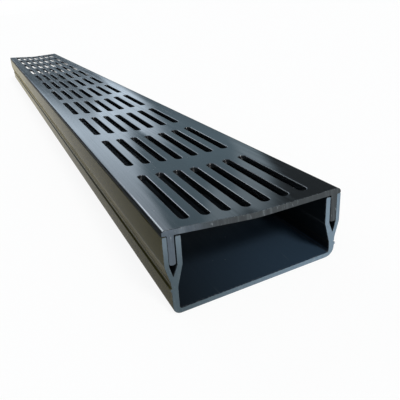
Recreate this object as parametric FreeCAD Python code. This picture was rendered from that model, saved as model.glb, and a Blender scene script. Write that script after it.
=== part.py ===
import FreeCAD, Part
import math
import os

os.makedirs("parts", exist_ok=True)

# Channel drain: a one-piece plastic channel with forked side walls, and a one-piece slotted
# grate whose two tongues hang in the forks. The floor isn't square to the walls, so one wall
# reaches further down than the other. The section is drawn with the grate level, and then both
# pieces are turned together to lie on the flat underside. X runs across towards the shorter
# wall, Y along the length and Z up. Sizes are in millimetres.

# whole drain
length = 1000.0
width = 100.0               # across the grate
height = 46.3               # square to the grate, at the taller wall
floor_fall = 6.9            # how much further down the taller wall reaches

# grate
plate_thickness = 3.1
plate_dish = 2.4            # how far the plate's middle line sags below its long edges
plate_edge_radius = 1.6
flange_edge_radius = 0.5
tongue_thickness = 3.5
tongue_tip_radius = 1.2

# slots of the grate
slot_rows = 11
slot_columns = 7
slot_length = 70.0
slot_width = 5.0
slot_end_bow = 1.7          # how far each rounded end bows out past the straight sides
column_pitch = 11.3
pattern_offset = -0.7       # the punched pattern sits a little to one side of the middle
end_margin = 8.5            # solid strip left between the last slots and each end

# channel
floor_thickness = 2.75
wall_thickness = 3.5
lower_wall = 17.7           # from the taller wall's lower corner up to the fork's taper
outer_prong_thickness = 2.4
inner_prong_thickness = 2.8
inner_prong_drop = 1.0      # the inner prong stops this far below the outer one
fork_overhang = 2.5         # how far the fork stands out past the lower wall
socket_v_depth = 5.5
socket_tip_share = 0.4      # where the V's tip lies, from the outer prong towards the inner one
outer_taper = 9.6
inner_taper = 12.0
taper_radius = 7.0
prong_tip_radius = 0.6
socket_radius = 0.5
tall_base_radius = 4.0      # outer corner under the taller wall
short_base_radius = 5.8     # outer corner under the shorter wall
inside_corner_radius = 1.2

# bead and groove along the outer face of each lower wall
bead_drop = 2.8             # from the foot of the fork's taper down to the bead's top
bead_height = 1.9
bead_proud = 0.6
bead_radius = 0.3
groove_width = 1.4
groove_depth = 0.5

# clearances between the tongues and the forks
tongue_outer_clearance = 0.1
tongue_inner_clearance = 0.4
tongue_tip_clearance = 0.3

# spare length of every cutting tool past the face it cuts
overcut = 2.0

# levels and lines shared by both pieces
half_width = width / 2
half_length = length / 2
seat_level = height - plate_thickness
socket_level = lower_wall + outer_taper
tongue_bottom = socket_level + tongue_tip_clearance
socket_outer = half_width - outer_prong_thickness
tongue_outer = socket_outer - tongue_outer_clearance
tongue_inner = tongue_outer - tongue_thickness
socket_inner = tongue_inner - tongue_inner_clearance
prong_inner = socket_inner - inner_prong_thickness
lower_outer = half_width - fork_overhang
lower_inner = lower_outer - wall_thickness
floor_angle = math.atan(floor_fall / (2 * lower_outer))
floor_rise = floor_thickness / math.cos(floor_angle)


def corner_arc(before, corner, after, radius):
    """Start, middle and end of the arc that rounds one corner of a profile."""
    to_before = (before - corner).normalize()
    to_after = (after - corner).normalize()
    half_angle = to_before.getAngle(to_after) / 2
    reach = radius / math.tan(half_angle)
    start = corner + to_before * reach
    end = corner + to_after * reach
    bisector = (to_before + to_after).normalize()
    middle = corner + bisector * (radius / math.sin(half_angle) - radius)
    return start, middle, end


def rounded_profile(corners):
    """Closed face from a list of (x, z, radius) corners, drawn at the near end."""
    points = [FreeCAD.Vector(x, -half_length, z) for x, z, radius in corners]
    radii = [radius for x, z, radius in corners]
    arcs = []
    for i, corner in enumerate(points):
        before = points[i - 1]
        after = points[(i + 1) % len(points)]
        if radii[i] > 0:
            arcs.append(corner_arc(before, corner, after, radii[i]))
        else:
            arcs.append((corner, corner, corner))
    edges = []
    for i, (start, middle, end) in enumerate(arcs):
        if radii[i] > 0:
            edges.append(Part.Arc(start, middle, end).toShape())
        next_start = arcs[(i + 1) % len(arcs)][0]
        edges.append(Part.makeLine(end, next_start))
    return Part.Face(Part.Wire(edges))


def mirrored(corners):
    """The same corners on the other side, in reverse order."""
    return [(-x, z, radius) for x, z, radius in reversed(corners)]


def extrusion(corners):
    """Full-length piece with the given section."""
    return rounded_profile(corners).extrude(FreeCAD.Vector(0, length, 0))


def underside(x):
    """Level of the sloping underside at x, measured from the taller wall's lower corner."""
    return (x + lower_outer) * math.tan(floor_angle)


def outer_wall_corners(base_level, base_radius):
    """Outer face of one wall, from the underside up to the outer prong's tip."""
    bead_top = lower_wall - bead_drop
    bead_bottom = bead_top - bead_height
    return [
        (lower_outer, base_level, base_radius),
        (lower_outer, bead_bottom, bead_radius),
        (lower_outer + bead_proud, bead_bottom + bead_proud, bead_radius),
        (lower_outer + bead_proud, bead_top - bead_radius, bead_radius),
        (lower_outer - groove_depth, bead_top + groove_width / 2, bead_radius),
        (lower_outer, bead_top + groove_width, bead_radius),
        (lower_outer, lower_wall, taper_radius),
        (half_width, socket_level, taper_radius),
        (half_width, seat_level, prong_tip_radius),
    ]


def fork_corners():
    """Inside of the fork: down the outer prong, into the V and up the inner prong."""
    tip = socket_outer + (socket_inner - socket_outer) * socket_tip_share
    return [
        (socket_outer, seat_level, prong_tip_radius),
        (socket_outer, socket_level, socket_radius),
        (tip, socket_level - socket_v_depth, socket_radius),
        (socket_inner, socket_level, socket_radius),
        (socket_inner, seat_level - inner_prong_drop, prong_tip_radius),
    ]


def inner_wall_corners(floor_level):
    """Inside face of one wall, from the inner prong's tip down to the floor."""
    return [
        (prong_inner, seat_level - inner_prong_drop, prong_tip_radius),
        (prong_inner, socket_level, taper_radius),
        (lower_inner, socket_level - inner_taper, taper_radius),
        (lower_inner, floor_level, inside_corner_radius),
    ]


def make_channel():
    """Channel: a sloping floor and two walls of unequal height that fork at the top."""
    short_wall = (
        outer_wall_corners(underside(lower_outer), short_base_radius)
        + fork_corners()
        + inner_wall_corners(underside(lower_inner) + floor_rise)
    )
    tall_wall = (
        outer_wall_corners(underside(-lower_outer), tall_base_radius)
        + fork_corners()
        + inner_wall_corners(underside(-lower_inner) + floor_rise)
    )
    return extrusion(short_wall + mirrored(tall_wall))


def plate_corners():
    """Right half of the grate, from the middle of its underside to the middle of its top."""
    rise_at_tongue = plate_dish * (1 - tongue_inner / half_width)
    return [
        (tongue_inner, seat_level - rise_at_tongue, 0),
        (tongue_inner, tongue_bottom, tongue_tip_radius),
        (tongue_outer, tongue_bottom, tongue_tip_radius),
        (tongue_outer, seat_level, 0),
        (half_width, seat_level, flange_edge_radius),
        (half_width, height, plate_edge_radius),
    ]


def slot(x, y):
    """One round-ended slot through the plate, centred on x and y."""
    bottom = seat_level - plate_dish - overcut
    depth = height + overcut - bottom
    left = x - slot_width / 2
    right = x + slot_width / 2
    near = y - slot_length / 2
    far = y + slot_length / 2
    near_left = FreeCAD.Vector(left, near + slot_end_bow, bottom)
    near_tip = FreeCAD.Vector(x, near, bottom)
    near_right = FreeCAD.Vector(right, near + slot_end_bow, bottom)
    far_right = FreeCAD.Vector(right, far - slot_end_bow, bottom)
    far_tip = FreeCAD.Vector(x, far, bottom)
    far_left = FreeCAD.Vector(left, far - slot_end_bow, bottom)
    edges = [
        Part.Arc(near_left, near_tip, near_right).toShape(),
        Part.makeLine(near_right, far_right),
        Part.Arc(far_right, far_tip, far_left).toShape(),
        Part.makeLine(far_left, near_left),
    ]
    return Part.Face(Part.Wire(edges)).extrude(FreeCAD.Vector(0, 0, depth))


def slot_pattern():
    """All slots: rows along the length, columns across the plate."""
    first_y = -half_length + end_margin + slot_length / 2
    row_pitch = (length - 2 * end_margin - slot_length) / (slot_rows - 1)
    slots = []
    for row in range(slot_rows):
        for column in range(slot_columns):
            x = pattern_offset + (column - (slot_columns - 1) / 2) * column_pitch
            slots.append(slot(x, first_y + row * row_pitch))
    return Part.makeCompound(slots)


def make_grate():
    """Grate: dished plate with a tongue under each long edge and rows of slots."""
    right = plate_corners()
    top_middle = [(0, height - plate_dish, 0)]
    under_middle = [(0, seat_level - plate_dish, 0)]
    body = extrusion(right + top_middle + mirrored(right) + under_middle)
    return body.cut(slot_pattern())


def laid_level(pieces):
    """The pieces turned together to lie on the underside, with their box centred across X."""
    corner = FreeCAD.Vector(-lower_outer, 0, 0)
    along = FreeCAD.Vector(0, 1, 0)
    turned = [piece.rotated(corner, along, math.degrees(floor_angle)) for piece in pieces]
    middle = Part.makeCompound(turned).BoundBox.Center.x
    return [piece.translated(FreeCAD.Vector(-middle, 0, 0)) for piece in turned]


channel, grate = laid_level([make_channel(), make_grate()])

channel.exportStep("parts/channel.step")
grate.exportStep("parts/grate.step")
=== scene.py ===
# A channel drain: a one-piece plastic channel with forked side walls, and a slotted grate that hangs in it.
import math
import bmesh
import bpy
import numpy as np
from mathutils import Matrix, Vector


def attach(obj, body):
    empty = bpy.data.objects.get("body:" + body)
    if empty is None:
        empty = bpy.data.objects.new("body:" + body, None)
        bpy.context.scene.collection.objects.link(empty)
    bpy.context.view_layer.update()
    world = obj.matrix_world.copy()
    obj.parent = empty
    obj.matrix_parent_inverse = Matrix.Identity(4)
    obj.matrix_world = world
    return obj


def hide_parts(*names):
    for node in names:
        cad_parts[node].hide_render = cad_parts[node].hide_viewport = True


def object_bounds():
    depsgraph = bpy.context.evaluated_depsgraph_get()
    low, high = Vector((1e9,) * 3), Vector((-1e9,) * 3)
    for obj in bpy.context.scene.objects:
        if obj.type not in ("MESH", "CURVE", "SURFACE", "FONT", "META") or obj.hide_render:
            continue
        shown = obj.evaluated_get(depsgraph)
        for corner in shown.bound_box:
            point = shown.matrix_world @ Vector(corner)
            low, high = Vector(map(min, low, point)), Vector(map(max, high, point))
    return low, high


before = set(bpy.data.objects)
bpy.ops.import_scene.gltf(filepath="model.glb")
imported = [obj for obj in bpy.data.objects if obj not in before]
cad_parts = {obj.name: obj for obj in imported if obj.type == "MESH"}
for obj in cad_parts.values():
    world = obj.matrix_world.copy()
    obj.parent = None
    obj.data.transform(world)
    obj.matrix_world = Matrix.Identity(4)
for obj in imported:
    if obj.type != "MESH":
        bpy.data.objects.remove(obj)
cadLow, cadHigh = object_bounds()
mm = 0.001  # the sizes below are millimetres, and every mesh is in metres
samePoint = 1e-6  # points of an outline that are nearer than this are one
tiny = 1e-9  # keeps a division away from 0

halfLength = cadHigh.y / mm
print("frame loaded:", sorted(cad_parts))

# the section is drawn with the grate level; the drain then lies on its underside, which isn't square to it
section = {
    "halfWidth": 50.0,
    "height": 46.3,
    "lowerOuter": 47.5,  # outer face of the lower walls
    "fall": 6.9,  # how much further down the taller wall reaches
    "aside": -2.505,  # brings the middle of the whole box to X = 0
}
lean = math.atan(section["fall"] / (2 * section["lowerOuter"]))


# turned by the angle lean about the taller wall's lower corner: x cos + z sin, and z cos - x sin
def laidLevel(points):
    x = points[..., 0] + section["lowerOuter"]
    z = points[..., 2]
    laid = points.copy()
    laid[..., 0] = x * math.cos(lean) + z * math.sin(lean) - section["lowerOuter"] + section["aside"]
    laid[..., 2] = z * math.cos(lean) - x * math.sin(lean)
    return laid


# a grid of points becomes quads: the face of cell (i, j) joins points (i, j), (i+1, j), (i+1, j+1), (i, j+1)
def gridFaces(rows, columns, closed):
    i, j = np.meshgrid(np.arange(rows - 1), np.arange(columns if closed else columns - 1), indexing="ij")
    k = (j + 1) % columns
    corners = [i * columns + j, (i + 1) * columns + j, (i + 1) * columns + k, i * columns + k]
    return np.stack(corners, axis=-1).reshape(-1, 4)


# corner P, with unit arms a and b to its neighbours and h half the angle between them, turns into the arc
# about P + (a + b)/|a + b| * r/sin h, swept evenly from P + a*r/tan h to P + b*r/tan h
def roundedOutline(corners, steps):
    flattest = 0.01  # h keeps this far from 0 and from a right angle
    corner = np.array([c[:2] for c in corners], float)
    radius = np.array([c[2] for c in corners], float)
    a = np.roll(corner, 1, axis=0) - corner
    b = np.roll(corner, -1, axis=0) - corner
    a /= np.linalg.norm(a, axis=1, keepdims=True)
    b /= np.linalg.norm(b, axis=1, keepdims=True)
    h = np.arccos(np.clip((a * b).sum(axis=1), -1, 1)) / 2
    h = np.clip(h, flattest, math.pi / 2 - flattest)
    middle = (a + b) / np.maximum(np.linalg.norm(a + b, axis=1, keepdims=True), tiny)
    centre = corner + middle * (radius / np.sin(h))[:, None]
    start = corner + a * (radius / np.tan(h))[:, None] - centre
    end = corner + b * (radius / np.tan(h))[:, None] - centre
    turn = (math.pi - 2 * h)[:, None]
    t = np.linspace(0, 1, steps + 1)
    fromStart = (np.sin((1 - t) * turn) / np.sin(turn))[..., None]
    fromEnd = (np.sin(t * turn) / np.sin(turn))[..., None]
    arcs = centre[:, None] + fromStart * start[:, None] + fromEnd * end[:, None]
    ridge = np.sign(b[:, 0] * a[:, 1] - b[:, 1] * a[:, 0])  # 1 on a ridge, -1 in a hollow
    rub = (ridge * (radius > 0))[:, None] * np.sin(math.pi * t)
    points = arcs.reshape(-1, 2)
    owner = np.repeat(np.arange(len(corners)), steps + 1)
    keep = np.linalg.norm(points - np.roll(points, 1, axis=0), axis=1) > samePoint
    return points[keep], rub.reshape(-1)[keep], owner[keep]


# point (i, j) is outline point j at station i along Y
def carried(outline, stations):
    points = np.empty((len(stations), len(outline), 3))
    points[..., 0] = outline[:, 0]
    points[..., 1] = np.asarray(stations)[:, None]
    points[..., 2] = outline[:, 1]
    return points


# grids are (points, rub, coats, closed), where coats is for the strip that ends at each point; they become
# one solid, with its doubles merged and its open ends filled
def joinGrids(name, grids):
    weld = 0.002  # points of neighbouring grids that are nearer than this are merged
    points = []
    rubs = []
    faces = []
    finishes = []
    count = 0
    for grid, rub, coats, closed in grids:
        rows, columns = grid.shape[:2]
        points.append(grid.reshape(-1, 3))
        rubs.append(np.broadcast_to(rub, (rows, columns)).reshape(-1))
        strips = columns if closed else columns - 1
        faces.append(gridFaces(rows, columns, closed) + count)
        coats = np.broadcast_to(coats, (rows - 1, columns))
        finishes.append(np.roll(coats, -1, axis=1)[:, :strips].reshape(-1))
        count += rows * columns
    mesh = bpy.data.meshes.new(name)
    laid = laidLevel(np.concatenate(points)) * mm
    mesh.from_pydata(laid.tolist(), [], np.concatenate(faces).tolist())
    mesh.polygons.foreach_set("material_index", np.concatenate(finishes).astype(np.int32))
    layer = mesh.attributes.new("rub", "FLOAT", "POINT")  # how far out on a ridge or down in a hollow
    layer.data.foreach_set("value", np.concatenate(rubs).astype(np.float32))
    shape = bmesh.new()
    shape.from_mesh(mesh)
    bmesh.ops.remove_doubles(shape, verts=shape.verts, dist=weld * mm)
    bmesh.ops.holes_fill(shape, edges=[e for e in shape.edges if e.is_boundary], sides=0)
    return mesh, shape


finishSizes = {
    "facing": 0.8,  # a sawn face looks along Y by at least this share of its normal
    "depth": 0.1,  # and lies this near an end
    "crease": 35,  # degrees from which an edge is shaded sharp
    "broken": 60,  # degrees from which an edge is broken
}


# the last coat is for the sawn ends, and the grids say which of the others a face has
def finishPiece(mesh, shape, node, coats, edgeBreak):
    s = finishSizes
    bmesh.ops.recalc_face_normals(shape, faces=shape.faces)
    shape.to_mesh(mesh)
    shape.free()
    count = len(mesh.polygons)
    normal = np.empty(count * 3)
    middle = np.empty(count * 3)
    mesh.polygons.foreach_get("normal", normal)
    mesh.polygons.foreach_get("center", middle)
    sawn = (abs(normal[1::3]) > s["facing"]) & (abs(middle[1::3]) > (halfLength - s["depth"]) * mm)
    finish = np.empty(count, np.int32)
    mesh.polygons.foreach_get("material_index", finish)
    finish[sawn] = len(coats) - 1
    mesh.polygons.foreach_set("material_index", finish)
    mesh.shade_smooth()
    mesh.set_sharp_from_angle(angle=math.radians(s["crease"]))
    for coat in coats:
        mesh.materials.append(coat)
    piece = bpy.data.objects.new(mesh.name, mesh)
    bpy.context.scene.collection.objects.link(piece)
    broken = piece.modifiers.new("edge break", "BEVEL")
    broken.width = edgeBreak * mm
    broken.segments = 1
    broken.limit_method = "ANGLE"
    broken.angle_limit = math.radians(s["broken"])
    broken.use_clamp_overlap = False
    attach(piece, "root")
    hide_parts(node)
    print(mesh.name, "made,", count, "faces")


# one socket of a node tree; sums, differences and products of wires add Math nodes
class Wire:
    def __init__(self, tree, socket=None):
        self.tree = tree
        self.socket = socket

    # settings go first, because some of them change the sockets; inputs are values or other wires
    def node(self, kind, settings, inputs, output=0):
        made = self.tree.nodes.new(kind)
        for key, value in settings.items():
            setattr(made, key, value)
        for key, value in inputs.items():
            if isinstance(value, Wire):
                self.tree.links.new(value.socket, made.inputs[key])
            else:
                made.inputs[key].default_value = value
        return Wire(self.tree, made.outputs[output] if len(made.outputs) else None)

    def maths(self, operation, *values):
        return self.node("ShaderNodeMath", {"operation": operation}, dict(enumerate(values)))

    def __add__(self, other):
        return self.maths("ADD", self, other)

    def __sub__(self, other):
        return self.maths("SUBTRACT", self, other)

    def __mul__(self, other):
        return self.maths("MULTIPLY", self, other)

    def __rsub__(self, other):
        return self.maths("SUBTRACT", other, self)

    def __abs__(self):
        return self.maths("ABSOLUTE", self)

    __radd__ = __add__
    __rmul__ = __mul__

    # 0 below low, 1 above high, and smooth between
    def step(self, low, high):
        settings = {"interpolation_type": "SMOOTHSTEP"}
        return self.node("ShaderNodeMapRange", settings, {"Value": self, "From Min": low, "From Max": high})

    # from the first colour to the second as this wire goes from 0 to 1; the Mix node's colours are its
    # sockets 6 and 7, and its output 2
    def blend(self, first, second):
        return self.node("ShaderNodeMix", {"data_type": "RGBA"}, {0: self, 6: first, 7: second}, 2)

    # one coordinate of a vector: 0 is X, 1 is Y and 2 is Z
    def axis(self, number):
        return self.node("ShaderNodeSeparateXYZ", {}, {"Vector": self}, number)

    # a scale under 1 draws the pattern out along that axis
    def stretched(self, scale, turn=(0, 0, 0)):
        return self.node("ShaderNodeMapping", {}, {"Vector": self, "Scale": scale, "Rotation": turn})

    def noise(self, scale, detail=3, roughness=0.55, distortion=0):
        inputs = {"Vector": self, "Scale": scale, "Detail": detail}
        inputs.update({"Roughness": roughness, "Distortion": distortion})
        return self.node("ShaderNodeTexNoise", {}, inputs)


def startMaterial(name):
    material = bpy.data.materials.new(name)
    material.use_nodes = True
    material.node_tree.nodes.clear()
    return material, Wire(material.node_tree)


def closeMaterial(wire, fixed, colour, roughness, height):
    inputs = {**fixed, "Base Color": colour, "Roughness": roughness}
    inputs["Normal"] = wire.node("ShaderNodeBump", {}, {"Strength": 1, "Distance": 1, "Height": height})
    surface = wire.node("ShaderNodeBsdfPrincipled", {}, inputs)
    wire.node("ShaderNodeOutputMaterial", {}, {"Surface": surface})


# extruded black plastic: fine die lines along Y, smudges, a few scratches and dust; painted highlights on
# ridges and painted light on the trough's floor
def extrudedBlack(name, look):
    material, wire = startMaterial(name)
    place = wire.node("ShaderNodeTexCoord", {}, {}, "Object")
    across, along, up = [place.axis(number) for number in range(3)]
    rub = wire.node("ShaderNodeAttribute", {"attribute_name": "rub"}, {}, "Fac")
    toEnd = halfLength * mm - abs(along)
    dieLines = place.stretched((1, look["lineStretch"], 1)).noise(look["lineScale"], detail=2)
    drift = place.stretched((1, look["driftStretch"], 1)).noise(look["driftScale"])
    smudgePlace = place.stretched((1, look["smudgeStretch"], 1))
    smudge = smudgePlace.noise(look["smudgeScale"], detail=4, roughness=0.6, distortion=0.6)
    grain = place.noise(look["grainScale"], detail=2)
    scratchPlace = place.stretched((1, look["scratchStretch"], 1), (0, 0, look["scratchTurn"]))
    scratchField = scratchPlace.noise(look["scratchScale"], detail=1, roughness=0.5, distortion=0.3)
    scratchHere = place.noise(look["scratchPatch"], detail=2).step(*look["scratchShare"])
    scratch = (1 - abs(scratchField - 0.5).step(0, look["scratchWidth"])) * scratchHere
    cells = wire.node("ShaderNodeTexVoronoi", {}, {"Vector": place, "Scale": look["dustScale"]})
    dustHere = place.noise(look["dustPatch"], detail=2).step(*look["dustShare"])
    dust = (1 - cells.step(*look["dustSize"])) * dustHere
    burrHere = place.noise(look["burrScale"]).step(*look["burrShare"])
    burr = (1 - toEnd.step(*look["burrReach"])) * burrHere
    ridgePlace = place.stretched((1, look["ridgeStretch"], 1))
    ridgeHere = ridgePlace.noise(look["ridgeScale"], detail=4).step(*look["ridgeShare"])
    ridge = rub.step(*look["rubRange"]) * ridgeHere
    hollow = (0 - rub).step(*look["rubRange"])
    normal = wire.node("ShaderNodeNewGeometry", {}, {}, "Normal")
    under = (0 - normal.axis(2)).step(*look["underRange"])
    # painted light: the trough's floor is made paler near the open ends and towards the right, fading deeper
    # in, as if lit through the mouth
    paintedMouthLight = across.step(*look["paintedMouthLightAcross"]) * (1 - up.step(*look["paintedMouthLightUp"])) * look["paintedMouthLight"]
    paintedMouthLight = paintedMouthLight * (1 - toEnd.step(*look["paintedMouthLightReach"]))
    colour = drift.blend(look["deep"], look["pale"])
    colour = paintedMouthLight.blend(colour, look["paintedMouthLightColour"])
    colour = (hollow * look["hollowGrime"]).blend(colour, look["grime"])
    # lighter ridges: partly real wear, partly a painted highlight along the rounded edges
    colour = (ridge * look["ridgeWearAndHighlight"]).blend(colour, look["wornAndHighlight"])
    colour = (scratch * look["scratch"]).blend(colour, look["wornAndHighlight"])
    colour = (burr * look["burr"]).blend(colour, look["wornAndHighlight"])
    colour = (dust * look["dust"]).blend(colour, look["dustColour"])
    roughness = look["roughness"] + (smudge - 0.5) * look["smudge"] + (dieLines - 0.5) * look["lineSheen"]
    roughness = roughness + ridge * look["ridgeDull"] + scratch * look["scratchDull"]
    roughness = roughness + burr * look["burrDull"] + dust * look["dustDull"] + under * look["underDull"]
    height = dieLines * look["lineDepth"] + grain * look["grainDepth"]
    height = height - scratch * look["scratchDepth"] + burr * look["burrHeight"]
    closeMaterial(wire, look["fixed"], colour, roughness, height)
    return material


# a sawn end: paler and duller, with the marks of the blade's teeth; its colour also carries painted light and
# shade, going from left to right across the face and lighter high up on the left
def sawnFace(name, look):
    material, wire = startMaterial(name)
    place = wire.node("ShaderNodeTexCoord", {}, {}, "Object")
    across = place.axis(0)
    up = place.axis(2)
    toothPlace = place.stretched((1, 1, look["toothStretch"]), (0, look["toothTurn"], 0))
    teeth = toothPlace.noise(look["toothScale"])
    passPlace = place.stretched((1, 1, look["passStretch"]), (0, look["passTurn"], 0))
    passes = passPlace.noise(look["passScale"], detail=2)
    cloud = place.noise(look["cloudScale"])
    nick = place.stretched((1, 1, look["nickStretch"])).noise(look["nickScale"]).step(*look["nickShare"])
    # painted light and shade: the face goes from the left colour to the right one across X, and towards a
    # lighter colour higher up on the left
    paintedLightToRight = (across + cloud * look["cloudShift"]).step(look["paintedLightFrom"] * mm, look["paintedLightTo"] * mm)
    colour = paintedLightToRight.blend(look["left"], look["right"])
    paintedLightHigh = up.step(look["paintedLightHighFrom"] * mm, look["paintedLightHighTo"] * mm) * (1 - paintedLightToRight)
    colour = paintedLightHigh.blend(colour, look["paintedLightHigh"])
    colour = (teeth.step(*look["toothShare"]) * look["streaks"]).blend(colour, look["toothStreakColour"])
    colour = (passes.step(*look["passShare"]) * look["passes"]).blend(colour, look["torn"])
    colour = (nick * look["nicks"]).blend(colour, look["torn"])
    roughness = look["roughness"] + (cloud - 0.5) * look["cloudDull"] + (teeth - 0.5) * look["toothDull"]
    height = (teeth + passes - nick) * look["markDepth"]
    closeMaterial(wire, {"IOR": look["IOR"]}, colour, roughness, height)
    return material


channelSizes = {
    "seat": 43.2,  # top of the outer prongs
    "slit": 0.35,  # how far the left outer prong stops short of the grate
    "floor": 2.75,
    "wall": 3.5,
    "outerProng": 2.4,
    "innerProng": 2.8,
    "innerProngDrop": 1.0,
    "lowerWall": 17.7,
    "socketGap": 4.0,
    "vDepth": 6.0,
    "vTip": 0.4,
    "outerTaper": 9.6,
    "innerTaper": 12.0,
    "taperRadius": 7.0,
    "tipRadius": 0.6,
    "socketRadius": 0.5,
    "vRadius": 0.15,
    "tallBase": 4.0,
    "shortBase": 5.8,
    "insideRadius": 1.2,
    "beadDrop": 2.8,
    "beadHeight": 1.9,
    "beadProud": 0.6,
    "beadRadius": 0.3,
    "grooveWidth": 0.9,
    "grooveDepth": 0.5,
    "arcSteps": 8,
    "edgeBreak": 0.12,
}


# one wall from its lower outer corner, over both prongs and down to the floor; side is 1 or -1
def wallCorners(side, base, slit, s):
    lowerOuter = section["lowerOuter"]
    lowerInner = lowerOuter - s["wall"]
    outer = section["halfWidth"]
    socketOuter = outer - s["outerProng"]
    socketInner = socketOuter - s["socketGap"]
    prongInner = socketInner - s["innerProng"]
    foot = s["lowerWall"]
    socket = foot + s["outerTaper"]
    beadTop = foot - s["beadDrop"]
    beadBottom = beadTop - s["beadHeight"]
    beadOuter = lowerOuter + s["beadProud"]
    vTipX = socketOuter + (socketInner - socketOuter) * s["vTip"]
    outerTop = s["seat"] - slit
    innerTop = s["seat"] - s["innerProngDrop"]
    rise = math.tan(lean)
    under = rise * (lowerOuter + side * lowerOuter)
    floorTop = rise * (lowerOuter + side * lowerInner) + s["floor"] / math.cos(lean)
    corners = [
        (lowerOuter, under, base),
        (lowerOuter, beadBottom, s["beadRadius"]),
        (beadOuter, beadBottom + s["beadProud"], s["beadRadius"]),
        (beadOuter, beadTop - s["beadRadius"], s["beadRadius"]),
        (lowerOuter - s["grooveDepth"], beadTop + s["grooveWidth"] / 2, s["beadRadius"]),
        (lowerOuter, beadTop + s["grooveWidth"], s["beadRadius"]),
        (lowerOuter, foot, s["taperRadius"]),
        (outer, socket, s["taperRadius"]),
        (outer, outerTop, s["tipRadius"]),
        (socketOuter, outerTop, s["tipRadius"]),
        (socketOuter, socket, s["socketRadius"]),
        (vTipX, socket - s["vDepth"], s["vRadius"]),
        (socketInner, socket, s["socketRadius"]),
        (socketInner, innerTop, s["tipRadius"]),
        (prongInner, innerTop, s["tipRadius"]),
        (prongInner, socket, s["taperRadius"]),
        (lowerInner, socket - s["innerTaper"], s["taperRadius"]),
        (lowerInner, floorTop, s["insideRadius"]),
    ]
    return [(side * x, z, radius) for x, z, radius in corners[::side]]


# both walls' outlines make one closed outline, which is carried from end to end
def makeChannel(s, coats):
    outsideCorners = 9  # of a wall's corners, the first ones, up to the outer prong's tip
    right = wallCorners(1, s["shortBase"], 0, s)
    left = wallCorners(-1, s["tallBase"], s["slit"], s)
    outline, rub, owner = roundedOutline(right + left, s["arcSteps"])
    within = np.arange(len(right)) >= outsideCorners  # the fork and the trough
    finish = np.concatenate([within, within[::-1]])[owner]
    ends = [-halfLength, halfLength]
    mesh, shape = joinGrids("channel_body", [(carried(outline, ends), rub, finish, True)])
    finishPiece(mesh, shape, "channel", coats, s["edgeBreak"])


grateSizes = {
    "thickness": 3.1,
    "dish": 2.4,
    "foldRadius": 3.0,
    "plateRadius": 2.3,
    "leftPlateRadius": 1.7,
    "flangeRadius": 0.5,
    "sideDrop": 0.6,  # the duller side starts this far down the plate's rounded edge
    "tongue": 3.5,
    "tongueOuter": 47.56,
    "tongueBottom": 27.6,
    "tongueRadius": 1.2,
    "fillet": 0.4,
    "rows": 11,
    "columns": 7,
    "slotLength": 70.0,
    "slotWidth": 5.0,
    "columnPitch": 11.3,
    "offset": -0.7,
    "endMargin": 8.5,
    "slotRound": 0.45,
    "slotBurr": 0.15,
    "slotRim": 0.15,  # flat ring outside the rounding, which keeps the plate's shading flat
    "sideSteps": 3,
    "endSteps": 6,
    "roundSteps": 3,
    "arcSteps": 8,
    "edgeBreak": 0.12,
}
underRings = 4  # of a slot's rings, those on the plate's underside come first
topRings = 2  # and those on its top come last, after the rounding


# the plate's top at x: lowest in the middle, a straight rise to each edge, and a soft fold between
def plateTop(x, s):
    soft = s["foldRadius"]
    rise = (np.sqrt(x**2 + soft**2) - soft) / (math.hypot(section["halfWidth"], soft) - soft)
    return section["height"] - s["dish"] + s["dish"] * rise


# rings round one slot, for slots centred on (cx, cy): each is the slot's outline pushed outwards by a
# distance, and the first and last lie on the edge of the slot's own cell of plate
def slotCells(cx, cy, near, far, s):
    radius = s["slotWidth"] / 2
    straight = s["slotLength"] / 2 - radius
    halfPitch = s["columnPitch"] / 2
    loops = []
    for reach, side in ((far, 1), (near, -1)):
        corner = np.arctan2(reach - straight, halfPitch)
        t = np.linspace(0, 1, s["sideSteps"] + 1)
        u = np.linspace(0, 1, s["endSteps"] + 1)[1:-1]
        angle = np.concatenate([t * corner, corner + u * (math.pi - 2 * corner), math.pi - t[::-1] * corner])
        if side < 0:
            angle = angle + math.pi
        direction = np.stack([np.cos(angle), np.sin(angle)], axis=-1)
        toSide = halfPitch / np.maximum(abs(direction[:, 0]), tiny)
        toEnd = (reach - straight) / np.maximum(abs(direction[:, 1]), tiny)
        loops.append((direction, np.minimum(toSide, toEnd), side * straight))
    direction = np.concatenate([loop[0] for loop in loops])
    edge = np.concatenate([loop[1] for loop in loops])
    middle = np.concatenate([np.full(len(loop[1]), loop[2]) for loop in loops])
    phi = np.linspace(0, math.pi / 2, s["roundSteps"] + 1)
    out = [edge, radius + s["slotBurr"] + s["slotRim"], radius + s["slotBurr"], radius]
    lift = [0, 0, 0, s["slotBurr"]]
    onTop = [0, 0, 0, 0]
    for p in phi:
        out.append(radius + s["slotRound"] * (1 - math.cos(p)))
        lift.append(-s["slotRound"] * (1 - math.sin(p)))
        onTop.append(1)
    out += [radius + s["slotRound"] + s["slotRim"], edge]
    lift += [0, 0]
    onTop += [1, 1]
    out = np.stack([np.broadcast_to(o, edge.shape) for o in out])
    points = np.empty((*out.shape, 3))
    points[..., 0] = cx + direction[:, 0] * out
    points[..., 1] = cy + middle + direction[:, 1] * out
    lift = np.array(lift)[:, None]
    onTop = np.array(onTop)[:, None]
    points[..., 2] = plateTop(points[..., 0], s) - (1 - onTop) * s["thickness"] + lift
    return points


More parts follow.
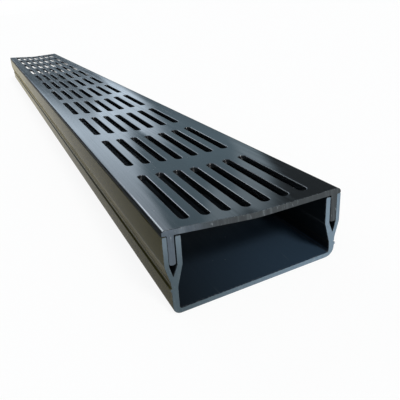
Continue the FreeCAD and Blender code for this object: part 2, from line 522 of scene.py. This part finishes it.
# the rows are spaced evenly between the end margins, and each slot's rings fill its cell of plate; the strips
# outside the slots are carried through the same stations along Y as the cells' edges
def makeGrate(s, coats):
    top = section["height"]
    radius = s["slotWidth"] / 2
    straight = s["slotLength"] / 2 - radius
    halfPitch = s["columnPitch"] / 2
    rowPitch = (2 * halfLength - 2 * s["endMargin"] - s["slotLength"]) / (s["rows"] - 1)
    grids = []
    stations = []
    for row in range(s["rows"]):
        cy = -halfLength + s["endMargin"] + s["slotLength"] / 2 + row * rowPitch
        near = rowPitch / 2 if row else s["endMargin"] + s["slotLength"] / 2
        far = rowPitch / 2 if row < s["rows"] - 1 else s["endMargin"] + s["slotLength"] / 2
        for column in range(s["columns"]):
            cx = s["offset"] + (column - (s["columns"] - 1) / 2) * s["columnPitch"]
            points = slotCells(cx, cy, near, far, s)
            rub = np.zeros(points.shape[:2])
            rub[underRings:-topRings] = np.sin(np.linspace(0, math.pi, s["roundSteps"] + 1))[:, None]
            under = (np.arange(len(points) - 1) < underRings - 1)[:, None]
            grids.append((points, rub, under, True))
        t = np.linspace(0, 1, s["sideSteps"] + 1)
        tNear = straight + halfPitch * np.tan(t * np.arctan2(near - straight, halfPitch))
        tFar = straight + halfPitch * np.tan(t * np.arctan2(far - straight, halfPitch))
        stations.append(np.concatenate([cy - tNear[::-1], cy + tFar]))
    stations = np.concatenate(stations)
    keep = np.concatenate([[True], np.diff(stations) > samePoint])
    stations = stations[keep]
    tongueInner = s["tongueOuter"] - s["tongue"]
    seat = top - s["thickness"]
    for side in (-1, 1):
        inner = s["offset"] + side * s["columns"] * halfPitch
        topAtInner = float(plateTop(np.array(inner), s))
        underAtTongue = float(plateTop(np.array(tongueInner), s)) - s["thickness"]
        corners = [
            (inner, topAtInner, 0),
            (side * section["halfWidth"], top, s["plateRadius"] if side > 0 else s["leftPlateRadius"]),
            (side * section["halfWidth"], seat, s["flangeRadius"]),
            (side * s["tongueOuter"], seat, s["fillet"]),
            (side * s["tongueOuter"], s["tongueBottom"], s["tongueRadius"]),
            (side * tongueInner, s["tongueBottom"], s["tongueRadius"]),
            (side * tongueInner, underAtTongue, s["fillet"]),
            (inner, topAtInner - s["thickness"], 0),
        ]
        outline, rub, owner = roundedOutline(corners, s["arcSteps"])
        finish = (owner > 1) | ((owner == 1) & (outline[:, 1] < top - s["sideDrop"]))  # 1 is the plate's edge
        grids.append((carried(outline, stations), rub * -side, finish, False))
    mesh, shape = joinGrids("grate_plate", grids)
    finishPiece(mesh, shape, "grate", coats, s["edgeBreak"])


extrudedLook = {
    "deep": (0.007, 0.0085, 0.01, 1),
    "pale": (0.011, 0.0125, 0.014, 1),
    "driftScale": 14,
    "driftStretch": 0.3,
    "roughness": 0.11,
    "fixed": {"IOR": 1.5},
    "lineScale": 800,
    "lineStretch": 0.004,
    "lineSheen": 0.3,
    "lineDepth": 0.00001,
    "grainScale": 2600,
    "grainDepth": 0.0000015,
    "smudge": 0.12,
    "smudgeScale": 42,
    "smudgeStretch": 0.45,
    "grime": (0.016, 0.015, 0.012, 1),
    "hollowGrime": 0.5,
    # the colour of wear, and of the painted highlight on ridges
    "wornAndHighlight": (0.12, 0.135, 0.145, 1),
    "rubRange": (0.1, 0.9),
    "ridgeWearAndHighlight": 0.3,
    "ridgeDull": 0.12,
    "ridgeScale": 260,
    "ridgeStretch": 0.12,
    "ridgeShare": (0.42, 0.66),  # in this and the other shares, the higher the rarer
    "scratch": 0.35,
    "scratchDull": 0.2,
    "scratchDepth": 0.00001,
    "scratchScale": 46,
    "scratchStretch": 0.09,
    "scratchTurn": 0.06,
    "scratchWidth": 0.004,
    "scratchPatch": 21,
    "scratchShare": (0.55, 0.68),
    "burr": 0.4,
    "burrDull": 0.2,
    "burrHeight": 0.00004,
    "burrScale": 900,
    "burrShare": (0.45, 0.62),
    "burrReach": (0.2 * mm, 1.3 * mm),  # from the sawn end
    "dust": 0.35,
    "dustColour": (0.5, 0.5, 0.48, 1),
    "dustDull": 0.4,
    "dustScale": 260,
    "dustSize": (0.03, 0.09),
    "dustPatch": 60,
    "dustShare": (0.52, 0.7),
    "underDull": 0,  # how much rougher the faces are that lean over the ground
    "underRange": (0.08, 0.2),
    "paintedMouthLight": 0,  # painted light on the trough's floor near the open ends, paler to the right and fading deeper in
    "paintedMouthLightColour": (0.024, 0.043, 0.068, 1),
    "paintedMouthLightAcross": (-70 * mm, 44 * mm),
    "paintedMouthLightUp": (3.2 * mm, 5 * mm),
    "paintedMouthLightReach": (15 * mm, 75 * mm),
}
grateLook = extrudedLook
grateSideLook = {**extrudedLook, "roughness": 0.22, "fixed": {"IOR": 1.02}}
outsideLook = {
    **extrudedLook,
    "deep": (0.034, 0.03, 0.008, 1),
    "pale": (0.049, 0.043, 0.015, 1),
    "roughness": 0.13,
    "underDull": 0.2,
    "fixed": {
        "IOR": 1.044,
        "Coat Weight": 1.0,
        "Coat IOR": 1.0,
        "Coat Tint": (1.0, 0.997, 0.985, 1),
    },
}
insideLook = {
    **extrudedLook,
    "deep": (0.005, 0.007, 0.009, 1),
    "pale": (0.007, 0.01, 0.013, 1),
    # painted light on the trough's floor near the open ends
    "paintedMouthLight": 0.9,
    "roughness": 0.5,
    "fixed": {"IOR": 1.08},
}
channelSawn = {
    # the left, right and high colours are painted light and shade on the sawn face
    "left": (0.031, 0.053, 0.066, 1),
    "right": (0.13, 0.187, 0.24, 1),
    "paintedLightHigh": (0.102, 0.14, 0.171, 1),
    "paintedLightHighFrom": 22,
    "paintedLightHighTo": 44,
    "toothStreakColour": (0.07, 0.09, 0.1, 1),
    "torn": (0.3, 0.34, 0.36, 1),
    "paintedLightFrom": -52,  # painted light and shade: the colour goes from left to right between these
    "paintedLightTo": 38,
    "cloudScale": 170,
    "cloudShift": 0.012,
    "cloudDull": 0.2,
    "streaks": 0.12,
    "toothScale": 1500,
    "toothStretch": 0.12,
    "toothTurn": 0.35,
    "toothShare": (0.4, 0.65),
    "toothDull": 0.15,
    "passes": 0.08,
    "passScale": 330,
    "passStretch": 0.05,
    "passTurn": 0.2,
    "passShare": (0.5, 0.7),
    "nicks": 0.25,
    "nickScale": 900,
    "nickStretch": 0.3,
    "nickShare": (0.62, 0.7),
    "markDepth": 0.00003,
    "roughness": 0.6,
    "IOR": 1.49,
}
grateSawn = {
    **channelSawn,
    # painted light and shade: the grate's sawn face is lighter on the left and darker on the right
    "left": (0.062, 0.083, 0.108, 1),
    "right": (0.021, 0.027, 0.031, 1),
    "paintedLightHigh": (0.062, 0.083, 0.108, 1),
    "toothStreakColour": (0.018, 0.023, 0.026, 1),
    "paintedLightFrom": -47,
    "paintedLightTo": -12,
    "streaks": 0.25,
    "passes": 0.13,
    "nicks": 0.42,
}

outside = extrudedBlack("channel outside", outsideLook)
inside = extrudedBlack("channel inside", insideLook)
makeChannel(channelSizes, [outside, inside, sawnFace("channel sawn end", channelSawn)])
grateTop = extrudedBlack("grate top", grateLook)
grateSide = extrudedBlack("grate side", grateSideLook)
makeGrate(grateSizes, [grateTop, grateSide, sawnFace("grate sawn end", grateSawn)])


stageSizes = {
    "rings": (0.001, 1, 4),  # metres, as all sizes here are
    "floorRadius": 14.0,
    "rimHeight": 0.55,
    "rimRun": 1.5,
    "rimRings": 9,
    "sides": 96,
    "drop": 0.0004,
    "matt": (0.88, 0.88, 0.88, 1),
    "shine": 0.9,  # how much of the floor's white is its own
}


# a floor of radius R with a low rim: height rises as rim * t^2 over the last run
def makeFloor(s):
    angle = np.linspace(0, 2 * math.pi, s["sides"], endpoint=False)
    rim = np.linspace(s["floorRadius"], s["floorRadius"] + s["rimRun"], s["rimRings"])
    radius = np.concatenate([s["rings"], rim])
    t = np.clip((radius - s["floorRadius"]) / s["rimRun"], 0, 1)
    height = s["rimHeight"] * t**2 - s["drop"]
    points = np.empty((len(radius), len(angle), 3))
    points[..., 0] = radius[:, None] * np.cos(angle)
    points[..., 1] = radius[:, None] * np.sin(angle)
    points[..., 2] = height[:, None]
    mesh = bpy.data.meshes.new("floor")
    mesh.from_pydata(points.reshape(-1, 3).tolist(), [], gridFaces(len(radius), len(angle), True).tolist())
    mesh.shade_smooth()
    floor = bpy.data.objects.new("floor", mesh)
    bpy.context.scene.collection.objects.link(floor)
    material, wire = startMaterial("pale floor")
    seen = wire.node("ShaderNodeLightPath", {}, {}, "Is Camera Ray")
    glossy = wire.node("ShaderNodeLightPath", {}, {}, "Is Glossy Ray")
    through = wire.node("ShaderNodeLightPath", {}, {}, "Is Transmission Ray")
    share = (seen + glossy + through) * s["shine"]  # a dull surface is lit by the matt floor alone
    matt = wire.node("ShaderNodeBsdfDiffuse", {}, {"Color": s["matt"]})
    white = wire.node("ShaderNodeEmission", {}, {"Color": (1, 1, 1, 1), "Strength": 1})
    both = wire.node("ShaderNodeMixShader", {}, {0: share, 1: matt, 2: white})
    wire.node("ShaderNodeOutputMaterial", {}, {"Surface": both})
    mesh.materials.append(material)


lightSizes = {
    "strength": 2.6,
    "spread": 14,
    "height": 42,  # degrees above the floor
    "aside": 10,  # degrees to the right of straight in front
    "colour": (1.0, 0.98, 0.95),
}


def makeLights(s):
    key = bpy.data.lights.new("key", "SUN")
    key.energy = s["strength"]
    key.angle = math.radians(s["spread"])
    key.color = s["colour"]
    lamp = bpy.data.objects.new("key", key)
    lamp.rotation_euler = (math.radians(90 - s["height"]), 0, math.radians(s["aside"]))
    bpy.context.scene.collection.objects.link(lamp)


# degrees from straight ahead towards +X, and degrees above the level; the window's right side leans
roomLook = {
    "around": (0.34, 0.38, 0.41, 1),
    "low": (0.1, 0.13, 0.155, 1),
    "window": (1.3, 1.55, 1.8, 1),
    "windowFrom": (-19, -15),
    "windowTo": 12.0,
    "windowLean": 0.37,
    "windowSoft": 1.8,
    "windowLow": (6.5, 13),
    "sky": (5.2, 5.8, 6.4, 1),
    "skyLow": (24.5, 27),
    "skyTo": (7, 11),
    "windowHigh": (33, 35.5),
    "jamb": 3.0,  # width of the strip down the window's right side that reaches lower
    "jambLow": (5.5, 9.5),
    "wall": (0.35, 0.51, 0.615, 1),
    "wallLow": (4, 20),
    "gap": (0.74, 0.93, 1.06, 1),
    "gapFrom": (26.5, 28.5),
    "gapTo": (30.5, 33.5),
    "gapLow": (12, 19),
    "dark": (0.06, 0.07, 0.075, 1),
    "darkTo": (80, 100),
}


def makeRoom(s):
    world = bpy.data.worlds.new("room")
    bpy.context.scene.world = world
    world.use_nodes = True
    world.node_tree.nodes.clear()
    wire = Wire(world.node_tree)
    direction = wire.node("ShaderNodeTexCoord", {}, {}, "Generated")
    x, y, z = [direction.axis(number) for number in range(3)]
    aside = wire.maths("ARCTAN2", x, y) * math.degrees(1)
    up = wire.maths("ARCSINE", z) * math.degrees(1)
    past = aside - up * s["windowLean"] - s["windowTo"]
    notPast = 1 - past.step(-s["windowSoft"], s["windowSoft"])
    ahead = aside.step(*s["windowFrom"]) * (1 - aside.step(*s["darkTo"]))
    window = aside.step(*s["windowFrom"]) * notPast * up.step(*s["windowLow"])
    jamb = past.step(-s["jamb"], 1 - s["jamb"]) * notPast * up.step(*s["jambLow"])
    gap = aside.step(*s["gapFrom"]) * (1 - aside.step(*s["gapTo"])) * up.step(*s["gapLow"])
    beyond = aside.step(*s["gapTo"]) * (1 - aside.step(*s["darkTo"]))
    colour = up.step(*s["wallLow"]).blend(s["low"], s["wall"])
    colour = wire.maths("MINIMUM", window + jamb, 1).blend(colour, s["window"])
    overhead = window * up.step(*s["skyLow"]) * (1 - aside.step(*s["skyTo"]))
    colour = overhead.blend(colour, s["sky"])
    colour = gap.blend(colour, s["gap"])
    colour = beyond.blend(colour, s["dark"])
    colour = up.step(*s["windowHigh"]).blend(colour, s["around"])
    colour = ahead.blend(s["around"], colour)
    sky = wire.node("ShaderNodeBackground", {}, {"Color": colour, "Strength": 1})
    wire.node("ShaderNodeOutputWorld", {}, {"Surface": sky})


cameraSizes = {
    "aside": -98.19,  # from the middle of the near end
    "inFront": 179.54,
    "height": 143.36,
    "turn": (65.316, 7.012, -24.407),  # degrees
    "lens": 42.25,
}


def makeCamera(s):
    camera = bpy.data.cameras.new("camera")
    camera.lens = s["lens"]
    camera.sensor_width = 36
    camera.clip_start = 0.01
    camera.clip_end = 100
    stand = bpy.data.objects.new("camera", camera)
    stand.location = (s["aside"] * mm, (-halfLength - s["inFront"]) * mm, s["height"] * mm)
    stand.rotation_euler = [math.radians(a) for a in s["turn"]]
    bpy.context.scene.collection.objects.link(stand)
    bpy.context.scene.camera = stand


makeFloor(stageSizes)
makeLights(lightSizes)
makeRoom(roomLook)
makeCamera(cameraSizes)
bpy.context.scene.view_settings.view_transform = "Standard"
print("stage set")
